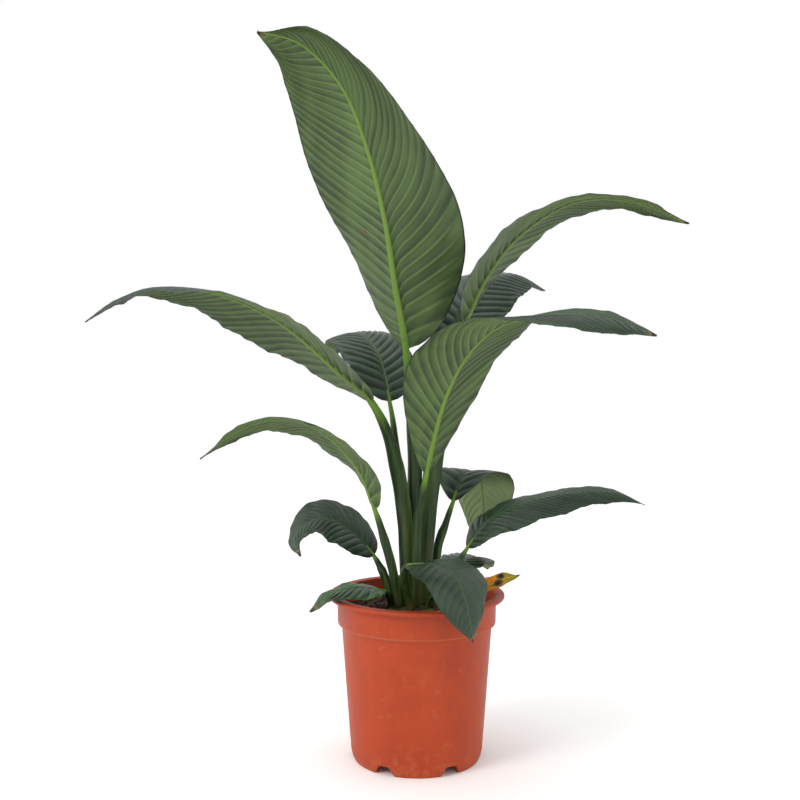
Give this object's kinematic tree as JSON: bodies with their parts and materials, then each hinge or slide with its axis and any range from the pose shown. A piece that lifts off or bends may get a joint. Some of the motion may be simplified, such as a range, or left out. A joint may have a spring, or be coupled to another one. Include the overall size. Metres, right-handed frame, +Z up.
{
  "type": "potted peace lily",
  "caption": "Peace lily houseplant with broad arching leaves in a terracotta-coloured round nursery pot with a rolled lip.",
  "frame": {"origin": "centre of the pot's flat centre foot, on the ground", "axes": "+Z up along the pot's axis, +X to the viewer's right and +Y away from the viewer"},
  "size_m": [0.7107, 0.4019, 0.8401],
  "materials": {
    "terracotta_plastic": "satin moulded polypropylene, terracotta colour",
    "potting_soil": "moist peat and bark potting mix",
    "crown_skin": "fibrous plant crown",
    "leaf_stem": "smooth waxy green stem",
    "leaf_blade": "semi-gloss leaf, darker above than below",
    "yellowed_blade": "drying yellow leaf"
  },
  "bodies": {
    "root": {"pot": "terracotta_plastic", "soil": "potting_soil", "crown": "crown_skin", "stem_tall_centre": "leaf_stem", "stem_upper_right": "leaf_stem", "stem_front_right": "leaf_stem", "stem_back_right": "leaf_stem", "stem_upper_left": "leaf_stem", "stem_back_left": "leaf_stem", "stem_mid_left": "leaf_stem", "stem_low_left": "leaf_stem", "stem_rim_left": "leaf_stem", "stem_front_rim": "leaf_stem", "stem_mid_right": "leaf_stem", "stem_low_right": "leaf_stem", "stem_low_back": "leaf_stem", "stem_yellowing": "leaf_stem", "blade_tall_centre": "leaf_blade", "blade_upper_right": "leaf_blade", "blade_front_right": "leaf_blade", "blade_back_right": "leaf_blade", "blade_upper_left": "leaf_blade", "blade_back_left": "leaf_blade", "blade_mid_left": "leaf_blade", "blade_low_left": "leaf_blade", "blade_rim_left": "leaf_blade", "blade_front_rim": "leaf_blade", "blade_mid_right": "leaf_blade", "blade_low_right": "leaf_blade", "blade_low_back": "leaf_blade", "blade_yellowing": "yellowed_blade"}
  },
  "joints": []
}
